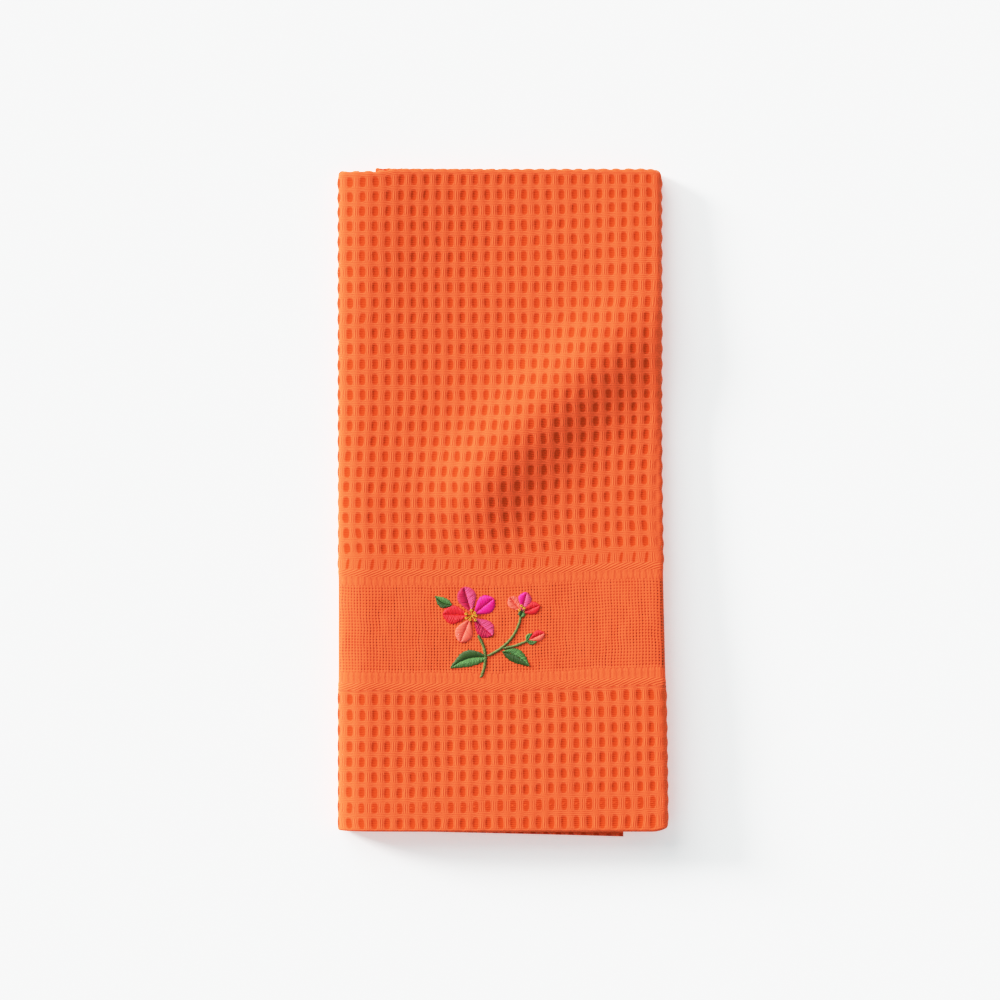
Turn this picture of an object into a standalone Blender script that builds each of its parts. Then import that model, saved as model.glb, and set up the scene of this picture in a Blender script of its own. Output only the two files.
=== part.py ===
"""Waffle-weave tea towel, folded in half and then in thirds, lying on a flat surface.

Metres, +Z up. The origin is on the surface, under the middle of the folded stack.
+Y points to the crosswise fold, -Y to the two hemmed ends, +Z up through the layers.
The towel is one sheet: it is halved across its length, the left third is turned under
the middle one, and the right third is turned under both.
"""

import math
from collections import namedtuple

import bmesh
import bpy

NODE = "towel"
COLLECTION = "tea_towel"

# Layers
LAYER_PITCH = 0.0024
SLAB_PITCH = 2 * LAYER_PITCH

# How far the cloth's two faces lie from the middle of its layer
Face = namedtuple("Face", "outer inner")
WAFFLE = Face(0.0009, 0.0009)
HEM = Face(0.0009, 0.0010)
BAND = Face(0.0006, 0.0007)

# Outline of the stack, seen from above
LEFT_X = -0.0913
RIGHT_X = 0.0913
HEM_Y = -0.1818
FOLD_Y = 0.1848
NARROWING = 0.018
NARROWEST_FROM_Y = 0.045

# Free edges of the two flaps under the middle third
LEFT_FLAP_EDGE_X = 0.0669
RIGHT_FLAP_EDGE_X = -0.0704
SIDE_HEM = 0.012
END_HEM = 0.0135
HEM_STEP = 0.002

# Heights and fold axes that follow from the layers
SLAB_HALF = LAYER_PITCH / 2 + WAFFLE.outer
LEFT_FOLD_RADIUS = SLAB_PITCH / 2
RIGHT_FOLD_RADIUS = SLAB_PITCH
LEFT_AXIS_X = LEFT_X + LEFT_FOLD_RADIUS + SLAB_HALF
RIGHT_AXIS_X = RIGHT_X - RIGHT_FOLD_RADIUS - SLAB_HALF
FOLD_AXIS_Y = FOLD_Y - SLAB_HALF
LOWEST_MIDDLE = WAFFLE.outer
HIGHEST_MIDDLE = SLAB_HALF + 2 * SLAB_PITCH + LAYER_PITCH / 2

# The stack climbs onto the lowest flap just left of that flap's edge, steepest at the left
RISE_END_X = RIGHT_FLAP_EDGE_X - 0.0018
CLIMB_POWER = 2.2

# How thick the stack is at its crosswise fold and, loosened by the hems, at its other end
FOLD_LOFT = 0.86
HEM_LOFT = 1.54
LOFT_POWER = 2.0

# Plain-weave band above the hem of the outer layer
BAND_LOW_Y = -0.1050
BAND_HIGH_Y = -0.0310
BAND_STEP = 0.002
SWELL_TOP_Y = 0.110

# Steps across the middle third, from the left fold to the right one
ColumnRun = namedtuple("ColumnRun", "name end_x steps")
COLUMN_RUNS = (
    ColumnRun("climb onto the lowest flap", RISE_END_X, 4),
    ColumnRun("up to that flap's edge", RIGHT_FLAP_EDGE_X, 1),
    ColumnRun("over that flap's side hem", RIGHT_FLAP_EDGE_X + SIDE_HEM, 1),
    ColumnRun("middle", LEFT_FLAP_EDGE_X - SIDE_HEM, 10),
    ColumnRun("over the left flap's side hem", LEFT_FLAP_EDGE_X, 1),
    ColumnRun("beyond that flap's edge", RIGHT_AXIS_X, 3),
)
SIDE_FOLD_STEPS = 6
CROSS_FOLD_STEPS = 4

# How square the side folds are: 2 is round, more is squarer
LEFT_FOLD_POWER = 3.0
RIGHT_FOLD_POWER = 8.0

# Steps along the outer layer, from its hem to the crosswise fold
RowRun = namedtuple("RowRun", "name end_y steps face")
ROW_RUNS = (
    RowRun("end hem", HEM_Y + END_HEM, 1, HEM),
    RowRun("off the hem", HEM_Y + END_HEM + HEM_STEP, 1, WAFFLE),
    RowRun("lower waffle", BAND_LOW_Y - BAND_STEP / 2, 3, WAFFLE),
    RowRun("into the band", BAND_LOW_Y + BAND_STEP / 2, 1, BAND),
    RowRun("band", BAND_HIGH_Y - BAND_STEP / 2, 3, BAND),
    RowRun("out of the band", BAND_HIGH_Y + BAND_STEP / 2, 1, WAFFLE),
    RowRun("waffle over the swell", SWELL_TOP_Y, 8, WAFFLE),
    RowRun("upper waffle", FOLD_AXIS_Y, 4, WAFFLE),
)

# The flaps lie a little askew: how far their free edges slide along Y
LEFT_FLAP_SLIDE = -0.0033
RIGHT_FLAP_SLIDE = 0.0010
SLIDE_POWER = 1.3

# Where the outline's ends draw in, and over what length the cloth takes it up
CORNER_REACH = 0.040
CORNER_WIDTH = 0.009
CORNER_DROP = 0.0024
LEFT_END_DROP = 0.0014

# Diagonal swell left by an old crease, as a bowed crest line with two flanks
SWELL_HEIGHT = 0.0087
SWELL_START = (-0.030, -0.014)
SWELL_END = (0.0785, 0.0985)
SWELL_BOW = 0.0058
SWELL_UPPER_SPREAD = 0.0225
SWELL_LOWER_SPREAD = 0.0255
SWELL_GROWS_FROM = -0.06
SWELL_GROWS_BY = 0.22
SWELL_FADES_FROM = 0.72
SWELL_FADES_BY = 1.25

# Gentle rises and hollows of the top layer
Rise = namedtuple("Rise", "name x y height spread_x spread_y")
RISES = (
    Rise("upper left crown", -0.071, 0.145, 0.0014, 0.022, 0.050),
    Rise("upper middle sag", -0.008, 0.145, -0.0018, 0.038, 0.050),
    Rise("upper right rise", 0.090, 0.125, 0.0034, 0.034, 0.050),
    Rise("right rise", 0.088, -0.080, 0.0020, 0.030, 0.045),
    Rise("lower left corner hollow", -0.094, -0.176, -0.0020, 0.034, 0.036),
    Rise("middle rise above the hem", 0.012, -0.150, 0.0006, 0.040, 0.020),
)

# Orange cotton
CLOTH_COLOUR = (0.855, 0.133, 0.038, 1.0)
CLOTH_ROUGHNESS = 0.9
SMOOTH_LIMIT_DEG = 50

Column = namedtuple("Column", "x z side up panel hemmed")
Row = namedtuple("Row", "y turn face")
SAME = 1e-6


def smooth(value, start, end):
    """Rise softly from 0 at start to 1 at end."""
    share = min(max((value - start) / (end - start), 0.0), 1.0)
    return share * share * (3.0 - 2.0 * share)


def left_flap_middle(x):
    """Height of the left flap's slab: on the surface, then on the lowest flap."""
    return SLAB_HALF + SLAB_PITCH * smooth(x, LEFT_AXIS_X, RISE_END_X)


def front_climb(x):
    """How far the middle third has climbed since its left edge."""
    share = min(max((x - LEFT_X) / (RISE_END_X - LEFT_X), 0.0), 1.0)
    return SLAB_PITCH * (1.0 - (1.0 - share) ** CLIMB_POWER)


def loft(y):
    """How many times thicker the stack is than its layers pressed even."""
    share = min(max((FOLD_Y - y) / (FOLD_Y - HEM_Y), 0.0), 1.0)
    return FOLD_LOFT + (HEM_LOFT - FOLD_LOFT) * share ** LOFT_POWER


def across_stations():
    """Places of the lines across the middle third."""
    stations = [LEFT_AXIS_X]
    for run in COLUMN_RUNS:
        start = stations[-1]
        stations += [start + (run.end_x - start) * step / run.steps for step in range(1, run.steps + 1)]
    return stations


def fold_direction(angle, power):
    """How far sideways and up a squarish ring of unit radius lies at an angle from its top."""
    sideways = math.sin(angle) ** (2.0 / power)
    upward = math.copysign(abs(math.cos(angle)) ** (2.0 / power), math.cos(angle))
    return sideways, upward


def side_fold(axis_x, radius, power, side):
    """Lines round one side fold, from the middle third down to its flap."""
    panel = "left" if side < 0 else "right"
    lines = []
    for step in range(1, SIDE_FOLD_STEPS):
        sideways, upward = fold_direction(math.pi * step / SIDE_FOLD_STEPS, power)
        x = axis_x + side * radius * sideways
        z = SLAB_HALF + radius * (1.0 + upward)
        if side < 0:
            z += front_climb(x - SLAB_HALF * sideways) * (1.0 + upward) / 2
        lines.append(Column(x, z, side * sideways, upward, panel, False))
    return lines


def columns():
    """Lines across the folded section, from the left flap's free edge to the right flap's."""
    stations = across_stations()
    left_hem_x = LEFT_FLAP_EDGE_X - SIDE_HEM - SAME
    right_hem_x = RIGHT_FLAP_EDGE_X + SIDE_HEM + SAME
    left_flap = [
        Column(x, left_flap_middle(x), 0.0, -1.0, "left", x >= left_hem_x)
        for x in reversed(stations)
        if x <= LEFT_FLAP_EDGE_X + SAME
    ]
    left_fold = side_fold(LEFT_AXIS_X, LEFT_FOLD_RADIUS, LEFT_FOLD_POWER, -1.0)
    front_z = SLAB_HALF + SLAB_PITCH
    front = [Column(x, front_z + front_climb(x), 0.0, 1.0, "front", False) for x in stations]
    right_fold = side_fold(RIGHT_AXIS_X, RIGHT_FOLD_RADIUS, RIGHT_FOLD_POWER, 1.0)
    right_flap = [
        Column(x, SLAB_HALF, 0.0, -1.0, "right", x <= right_hem_x)
        for x in reversed(stations)
        if x >= RIGHT_FLAP_EDGE_X - SAME
    ]
    return left_flap + left_fold[::-1] + front + right_fold + right_flap


def rows():
    """Lines along the sheet: up the outer layer, round the crosswise fold, down the inner one."""
    outer = [Row(HEM_Y, 0.0, HEM)]
    for run in ROW_RUNS:
        start = outer[-1].y
        for step in range(1, run.steps + 1):
            outer.append(Row(start + (run.end_y - start) * step / run.steps, 0.0, run.face))
    turns = [math.pi * step / CROSS_FOLD_STEPS for step in range(1, CROSS_FOLD_STEPS)]
    turned = [Row(FOLD_AXIS_Y, turn, WAFFLE) for turn in turns]
    inner = [Row(row.y, math.pi, HEM if row.face == HEM else WAFFLE) for row in reversed(outer)]
    return outer + turned + inner


def swell_height(x, y):
    """Height of the diagonal swell of the top layer."""
    along = (SWELL_END[0] - SWELL_START[0], SWELL_END[1] - SWELL_START[1])
    length = math.hypot(*along)
    from_start = (x - SWELL_START[0], y - SWELL_START[1])
    share = (from_start[0] * along[0] + from_start[1] * along[1]) / length ** 2
    off = (from_start[1] * along[0] - from_start[0] * along[1]) / length
    off -= SWELL_BOW * 4.0 * share * (1.0 - share)
    spread = SWELL_UPPER_SPREAD if off > 0 else SWELL_LOWER_SPREAD
    grown = smooth(share, SWELL_GROWS_FROM, SWELL_GROWS_BY)
    faded = smooth(share, SWELL_FADES_FROM, SWELL_FADES_BY)
    return SWELL_HEIGHT * grown * (1.0 - faded) * math.exp(-((off / spread) ** 2))


def relief(x, y):
    """Height that the top layer stands above or below an even stack."""
    height = swell_height(x, y)
    for rise in RISES:
        away = ((x - rise.x) / rise.spread_x) ** 2 + ((y - rise.y) / rise.spread_y) ** 2
        height += rise.height * math.exp(-away)
    return height


def lengthwise_slide(x, y, panel):
    """How far a point slides along Y: the flaps' skew and the drawn-in ends."""
    slide = 0.0
    if panel == "left":
        slide += LEFT_FLAP_SLIDE * smooth_power(x - LEFT_AXIS_X, LEFT_FLAP_EDGE_X - LEFT_AXIS_X)
    if panel == "right":
        slide += RIGHT_FLAP_SLIDE * smooth_power(RIGHT_AXIS_X - x, RIGHT_AXIS_X - RIGHT_FLAP_EDGE_X)
    corner = CORNER_DROP * max(0.0, (x - RIGHT_X + CORNER_WIDTH) / CORNER_WIDTH) ** 2
    left_end = 0.0
    if panel != "right":
        left_end = LEFT_END_DROP * (1.0 - smooth(x, RIGHT_FLAP_EDGE_X, RIGHT_FLAP_EDGE_X + SIDE_HEM))
    slide -= (corner + left_end) * smooth(y, FOLD_Y - CORNER_REACH, FOLD_Y)
    slide += corner * (1.0 - smooth(y, HEM_Y, HEM_Y + CORNER_REACH))
    return slide


def smooth_power(distance, full):
    """Share of a flap's skew at a distance from its fold."""
    return min(max(distance / full, 0.0), 1.0) ** SLIDE_POWER


def folded_point(column, row, outside):
    """Place of one point of the sheet in the folded stack."""
    face = HEM if column.hemmed else row.face
    from_middle = face.outer if outside else -face.inner
    reach = LAYER_PITCH / 2 + from_middle
    across = reach * math.cos(row.turn)
    x = column.x + across * column.side
    y = row.y + reach * math.sin(row.turn)
    z = (column.z + across * column.up) * loft(row.y)
    middle_z = column.z + LAYER_PITCH / 2 * math.cos(row.turn) * column.up
    lifted = min(max((middle_z - LOWEST_MIDDLE) / (HIGHEST_MIDDLE - LOWEST_MIDDLE), 0.0), 1.0)
    z += relief(x, y) * lifted
    y += lengthwise_slide(x, y, column.panel)
    x = LEFT_X + (x - LEFT_X) * (1.0 - NARROWING * smooth(y, HEM_Y, NARROWEST_FROM_Y))
    return x, y, z


def flat_sheet(across, along, collection):
    """The unfolded sheet as one closed mesh, one unit a step and one unit thick."""
    grid = bmesh.new()
    bmesh.ops.create_grid(grid, x_segments=across, y_segments=along, size=0.5)
    for vertex in grid.verts:
        vertex.co.x = (vertex.co.x + 0.5) * across
        vertex.co.y = (vertex.co.y + 0.5) * along
    mesh = bpy.data.meshes.new(NODE)
    grid.to_mesh(mesh)
    grid.free()
    sheet = bpy.data.objects.new(NODE, mesh)
    collection.objects.link(sheet)
    thickness = sheet.modifiers.new("Thickness", 'SOLIDIFY')
    thickness.thickness = 1.0
    thickness.offset = 0.0
    evaluated = sheet.evaluated_get(bpy.context.evaluated_depsgraph_get())
    sheet.data = bpy.data.meshes.new_from_object(evaluated)
    sheet.modifiers.clear()
    bpy.data.meshes.remove(mesh)
    return sheet


def cloth_material():
    """Matt orange cotton."""
    material = bpy.data.materials.new("orange_cotton")
    material.use_nodes = True
    shader = material.node_tree.nodes["Principled BSDF"]
    shader.inputs["Base Color"].default_value = CLOTH_COLOUR
    shader.inputs["Roughness"].default_value = CLOTH_ROUGHNESS
    shader.inputs["Metallic"].default_value = 0.0
    return material


def build_towel(collection):
    """Fold the flat sheet, point by point, into the stack."""
    across = columns()
    along = rows()
    towel = flat_sheet(len(across) - 1, len(along) - 1, collection)
    for vertex in towel.data.vertices:
        column = across[round(vertex.co.x)]
        row = along[round(vertex.co.y)]
        vertex.co = folded_point(column, row, vertex.co.z > 0)
    towel.data.materials.append(cloth_material())
    towel.data.shade_smooth()
    towel.data.set_sharp_from_angle(angle=math.radians(SMOOTH_LIMIT_DEG))
    return towel


def clear_scene():
    for old in list(bpy.data.objects):
        bpy.data.objects.remove(old)


def main():
    clear_scene()
    collection = bpy.data.collections.new(COLLECTION)
    bpy.context.scene.collection.children.link(collection)
    build_towel(collection)


main()
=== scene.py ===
"""Looks of a folded waffle-weave tea towel: its cloth, stitching, light and camera.

Metres, +Z up. The cloth is one closed sheet, laid point by point on the folds of the
solid: u runs across the flat towel, v along it, and an offset through its thickness.
"""

import math
from collections import namedtuple

import bmesh
import bpy
import numpy as np
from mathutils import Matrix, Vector


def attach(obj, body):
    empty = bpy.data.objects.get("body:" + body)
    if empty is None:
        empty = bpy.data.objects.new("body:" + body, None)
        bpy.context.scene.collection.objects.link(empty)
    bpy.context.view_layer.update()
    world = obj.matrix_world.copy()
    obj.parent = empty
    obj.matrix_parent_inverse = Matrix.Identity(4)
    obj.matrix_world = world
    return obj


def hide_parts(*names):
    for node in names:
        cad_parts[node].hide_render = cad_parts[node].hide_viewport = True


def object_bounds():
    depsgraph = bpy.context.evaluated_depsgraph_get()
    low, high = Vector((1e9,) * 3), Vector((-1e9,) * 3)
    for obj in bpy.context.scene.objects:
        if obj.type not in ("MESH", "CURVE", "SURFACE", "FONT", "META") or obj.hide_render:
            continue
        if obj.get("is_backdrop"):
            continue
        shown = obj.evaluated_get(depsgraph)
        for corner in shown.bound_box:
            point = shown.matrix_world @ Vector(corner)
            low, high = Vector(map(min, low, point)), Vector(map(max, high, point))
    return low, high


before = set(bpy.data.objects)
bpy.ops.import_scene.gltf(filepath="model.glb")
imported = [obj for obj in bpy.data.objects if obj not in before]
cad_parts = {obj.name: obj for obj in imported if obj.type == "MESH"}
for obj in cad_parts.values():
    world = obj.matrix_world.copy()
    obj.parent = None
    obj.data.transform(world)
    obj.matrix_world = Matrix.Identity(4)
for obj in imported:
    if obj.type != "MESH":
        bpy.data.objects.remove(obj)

CAD_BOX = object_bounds()
BODY = "root"
NODE = "towel"

# Layers of the stack, as in the solid
LAYER_PITCH = 0.0024
SLAB_PITCH = 2 * LAYER_PITCH
FACE = 0.0009
SLAB_HALF = LAYER_PITCH / 2 + FACE
HEM_INNER = 0.001
BAND_INNER = 0.0007

# Outline of the stack and the flaps' free edges
LEFT_X = -0.0913
RIGHT_X = 0.0913
HEM_Y = -0.1818
FOLD_Y = 0.1848
NARROWING = 0.018
NARROWEST_FROM_Y = 0.045
LEFT_FLAP_X = 0.0669
RIGHT_FLAP_X = -0.0704
SIDE_HEM = 0.012
END_HEM = 0.0135

# Fold axes
LEFT_RADIUS = SLAB_PITCH / 2
RIGHT_RADIUS = SLAB_PITCH
LEFT_AXIS_X = LEFT_X + LEFT_RADIUS + SLAB_HALF
RIGHT_AXIS_X = RIGHT_X - RIGHT_RADIUS - SLAB_HALF
FOLD_AXIS_Y = FOLD_Y - SLAB_HALF
RISE_END_X = RIGHT_FLAP_X - 0.0018
CLIMB_POWER = 2.2
LOWEST_MIDDLE = FACE
HIGHEST_MIDDLE = SLAB_HALF + 2 * SLAB_PITCH + LAYER_PITCH / 2

# Side folds' profiles, from top to bottom for a unit radius: way round, sideways and upward
Profile = namedtuple("Profile", "way sideways upward")
PROFILE_POINTS = 721
LEFT_SQUARENESS = 3.0
RIGHT_SQUARENESS = 8.0


def fold_profile(squareness):
    """Half a squarish ring: 2 is round, more is squarer."""
    angle = np.linspace(0.0, math.pi, PROFILE_POINTS)
    sideways = np.abs(np.sin(angle)) ** (2.0 / squareness)
    upward = np.sign(np.cos(angle)) * np.abs(np.cos(angle)) ** (2.0 / squareness)
    way = np.cumsum(np.hypot(np.diff(sideways, prepend=0.0), np.diff(upward, prepend=1.0)))
    return Profile(way, sideways, upward)


LEFT_PROFILE = fold_profile(LEFT_SQUARENESS)
RIGHT_PROFILE = fold_profile(RIGHT_SQUARENESS)

# Lengths of the sheet, measured along its outer layer
LEFT_ARC = LEFT_RADIUS + LAYER_PITCH / 2
RIGHT_ARC = RIGHT_RADIUS + LAYER_PITCH / 2
CROSS_ARC = LAYER_PITCH / 2 + FACE / 2
U_LEFT = LEFT_FLAP_X - LEFT_AXIS_X
U_FRONT = U_LEFT + LEFT_PROFILE.way[-1] * LEFT_ARC
U_RIGHT = U_FRONT + RIGHT_AXIS_X - LEFT_AXIS_X
U_FLAP = U_RIGHT + RIGHT_PROFILE.way[-1] * RIGHT_ARC
U_END = U_FLAP + RIGHT_AXIS_X - RIGHT_FLAP_X
V_FOLD = FOLD_AXIS_Y - HEM_Y
V_REAR = V_FOLD + math.pi * CROSS_ARC
V_END = V_REAR + V_FOLD

# Loft of the stack at its crosswise fold and at its hems
FOLD_LOFT = 0.86
HEM_LOFT = 1.54
LOFT_POWER = 2.0

# How the flaps lie askew and the outline's ends draw in
LEFT_FLAP_SLIDE = -0.0033
RIGHT_FLAP_SLIDE = 0.001
SLIDE_POWER = 1.3
CORNER_REACH = 0.04
CORNER_WIDTH = 0.009
CORNER_DROP = 0.0024
LEFT_END_DROP = 0.0014

# Diagonal swell left by an old crease
SWELL_HEIGHT = 0.0087
SWELL_START = (-0.03, -0.014)
SWELL_END = (0.0785, 0.0985)
SWELL_BOW = 0.0058
SWELL_UPPER_SPREAD = 0.0225
SWELL_LOWER_SPREAD = 0.0255
SWELL_GROWS = (-0.06, 0.22)
SWELL_FADES = (0.72, 1.25)

# Gentle rises and hollows: (x, y, height, spread across, spread along)
RISES = (
    (-0.071, 0.145, 0.0014, 0.022, 0.05),
    (-0.008, 0.145, -0.0018, 0.038, 0.05),
    (0.09, 0.125, 0.0034, 0.034, 0.05),
    (0.088, -0.08, 0.002, 0.03, 0.045),
    (-0.094, -0.176, -0.002, 0.034, 0.036),
    (0.012, -0.15, 0.0006, 0.04, 0.02),
)

# Waffle cells: pitch, a ridge, a rib, and a rib for the rows below the band
CELL_U = 0.006965
CELL_V = 0.00852
RIDGE_X = -0.0844 - CELL_U / 2
RIB_Y = 0.18272
LOWER_RIB_Y = 0.18466

# Waffle relief: the pockets, in cells, the ribs, and the puffed rows on the side folds
POCKET_HALF_U = 0.275
POCKET_HALF_V = 0.385
SQUARENESS = 3.2
POCKET_WALL = (0.58, 1.06)
POCKET_DEPTH = 0.0005
POCKET_STRAY = (0.035, 0.03)
WIDTH_VARIES = 0.14
DEPTH_VARIES = 0.15
HALF_ROW_LEAN = 0.26
HALF_ROW_NARROWING = 0.45
HALF_ROW_FLATNESS = 0.6
RIB_DEPTH = 0.00022
RIB_SLOPE = (0.12, 0.34)
REAR_DEPTH = 0.00015
FOLD_FLATTENING = 0.6
EDGE_PUFF = 0.0006
EDGE_POWER = 8
POCKET_LINES_U = (0.0, 0.19, 0.31, 0.5, 0.69, 0.81)
POCKET_LINES_V = (0.0, 0.1, 0.21, 0.36, 0.5, 0.64, 0.79, 0.9)

# Band: its zones from the crosswise fold down, and its yarns
HALF_ROW_TOP_Y = -0.0283
UPPER_TWILL_Y = -0.0372
UPPER_FLOATS_Y = -0.0411
PLAIN_TOP_Y = -0.0461
LOWER_FLOATS_Y = -0.0944
LOWER_TWILL_Y = -0.1
BAND_END_Y = -0.1042
YARN_U = 0.0017
YARN_V = 0.001666
BAND_DROP = 0.00028
YARN_HOLE = 0.0003
BESIDE_SHARE = 0.45
ABOVE_SHARE = 0.25
YARN_VARIES = 0.5
YARN_LUMP = (3.0, 6.0)
TWILL_RISE = 0.00026
TWILL_SPREAD = 0.0019
ZONE_EDGE = 0.0006

# End hem: where it is sewn, and how far the seam and the edge flatten the weave
HEM_SEAM_Y = -0.1688
SEAM_FLATTENING = 0.75
SEAM_SPREAD = 0.0042
EDGE_TAPER = 0.003

# Rim of the free edges, and the lattice's steps
RIM = 0.0009
RIM_STEPS = 3
ARC_STEPS = 8
LEFT_SLOPE_STEPS = 7
RIGHT_SLOPE_STEPS = 5
TWILL_STEP = 0.001
BAND_KEEP = 4
LEAST_STEP = 0.04
SAME_LINE = 0.01
U_LEFT_SLOPE = LEFT_FLAP_X - RIGHT_FLAP_X
U_FRONT_SLOPE = U_FRONT + RIGHT_FLAP_X - LEFT_AXIS_X
U_RIGHT_SLOPE = U_FRONT + LEFT_FLAP_X - LEFT_AXIS_X
U_ORIGIN = U_FRONT - LEFT_AXIS_X + RIDGE_X
V_ORIGIN = RIB_Y - HEM_Y
V_LOWER_ORIGIN = LOWER_RIB_Y - HEM_Y

# Wander of the weave, in lumps (wide, tall, seed), and the straight free edges
WANDER = 0.00034
WANDER_ACROSS = ((0.011, 0.007, 1), (0.045, 0.03, 2))
WANDER_ALONG = ((0.009, 0.011, 3), (0.05, 0.04, 4))
STRAIGHT_EDGE = 0.006

# Rows' climb to the right (y, how far, from x), and columns' pull by the swell, bow and lean
ROW_CLIMB = (
    (-0.1818, 0.0, -0.075), (-0.178, 0.0014, -0.075), (-0.165, 0.004, -0.075), (-0.14, 0.003, -0.075),
    (-0.125, 0.002, -0.06), (-0.1042, 0.003, -0.012), (-0.025, 0.0045, -0.012), (0.04, 0.004, -0.012),
    (0.062, 0.0, -0.012), (0.112, 0.0, -0.012), (0.135, 0.0022, -0.012), (0.16, 0.0022, -0.012),
    (0.1848, 0.0, -0.012),
)
SWELL_PULL = -0.003
BOW = -0.002
BOW_Y = -0.004
BOW_SPREAD = 0.034
LEAN = 0.0012
LEAN_Y = (-0.02, 0.12)
LEAN_BY_X = -0.05

# Cloth's looks
RIDGE_COLOUR = (0.97, 0.103, 0.0262, 1.0)
# The pockets' colour: the cloth's orange with painted shade, darker and redder as shade and light bounced
# between the pocket walls make it
PAINTED_POCKET_SHADE_COLOUR = (0.78, 0.055, 0.0042, 1.0)
SHEEN_TINT = (1.0, 0.5, 0.24, 1.0)
SHEEN_WEIGHT = 0.4
POCKET_NAP_LOSS = 0.8
CLOTH_ROUGHNESS = 0.95
CLOTH_GLOSS = 0.2
YARN_BUMP = 0.00026
WEAVE_WOBBLE = 0.07
WOBBLE_SCALE = 420.0
FIBRE_SCALE = 5200.0
FIBRE_DETAIL = 3.0
FIBRE_HEIGHT = 0.35
MOTTLE_SCALE = 130.0
MOTTLE_SHARE = 0.14

# Waffle's looks: pockets with painted shade, darkest at their tops, the bend of the side fold, where that
# painted shade is mostly left off, rims and threads
LOOK_HALF_U = POCKET_HALF_U * 0.94
LOOK_HALF_ROW_U = POCKET_HALF_U * 0.5
LOOK_HALF_V = POCKET_HALF_V * 0.98
LOOK_WALL = (1.08, 0.7)
HALF_ROW_BLUR = 0.05
BEND_AT = 0.0053
BEND_WIDTH = 0.8
BEND_PAINTED_SHADE_CUT = 0.9
RIM_AT = 1.11
RIM_WIDTH = 0.13
MIDDLE_STEP = (0.14, 0.3)
RIDGE_STEP = (0.26, 0.2)
SLIT_WIDTH = 0.045
THREAD_PITCH = 0.17
WEFT_LINES = 9
POCKET_PAINTED_SHADE = 0.14
POCKET_TOP_PAINTED_SHADE = 0.04
POCKET_TOP_STEP = (0.25, -0.3)

# Band's looks
ZONE_BLUR = 0.03
STREAK_SCALES = (0.9, 0.12)
STREAK_STEP = (0.35, 0.65)
BUNDLE_SCALE = 900.0
BUNDLE_STRAY = 0.22
BUNDLES = 2.0
FLOAT_LINES = 9.0
TWILL_ANGLE = math.radians(21)
TWILL_PITCH = 0.00122
TWILL_SHADE = (0.86, 0.2)

# How far each part of the weave stands up, and its shade: a base level of the colour, then painted
# highlight where the share is above 0 and painted shade in holes, gaps, slits, dips and creases where it is
# below
Part = namedtuple("Part", "height shade")
WAFFLE = Part(0.0, 0.91)
FLOATS = Part(0.55, 0.07)
RIMS = Part(0.32, 0.06)
SLITS = Part(-0.5, -0.2)
PLAIN = Part(1.0, 1.01)
HOLES = Part(-0.9, -0.5)
GAPS = Part(-0.45, -0.27)
DIPS = Part(-0.12, -0.06)
SHORT_FLOATS = Part(0.6, 0.97)
FINE_LINES = Part(0.4, 0.05)
CREASES = Part(-0.6, -0.2)

# Sprig: its middle on the band, and how its stitches lie
SPRIG_X = -0.0069
SPRIG_Y = -0.0699
STITCH_PITCH = 0.00042
STITCH_WIDTH = 0.00056
STITCH_HEIGHT = 0.00026
SIDES = 6
SATIN_LIFT = 0.00052
SATIN_SINK = 0.00025
SATIN_STEPS = (0.0, 0.07, 0.22, 0.5, 0.78, 0.93, 1.0)
STITCH_LEAN = 0.16
STITCH_JITTER = 0.00012
FEWEST_STITCHES = 6
ARCH_POWER = 0.6
ARCH_VARIES = 0.12

# Threads' looks
Finish = namedtuple("Finish", "gloss roughness")
SILKY = Finish(0.35, 0.5)
MATT = Finish(0.05, 0.95)
STRAND_SCALE = 2600.0
STRAND_SHARE = 0.32
STRAND_BUMP = 0.00012
PATCH_SCALE = 420.0
PATCH_SHARE = 0.2

# Sprig's thread colours
THREADS = {
    "magenta": (0.45, 0.002, 0.05, 1.0),
    "pink": (0.66, 0.052, 0.165, 1.0),
    "hot_pink": (0.76, 0.002, 0.195, 1.0),
    "red": (0.74, 0.01, 0.018, 1.0),
    "coral": (0.92, 0.11, 0.07, 1.0),
    "leaf_green": (0.07, 0.19, 0.044, 1.0),
    "dark_green": (0.026, 0.072, 0.01, 1.0),
    "olive": (0.105, 0.145, 0.032, 1.0),
    "gold": (0.58, 0.285, 0.016, 1.0),
}

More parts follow.
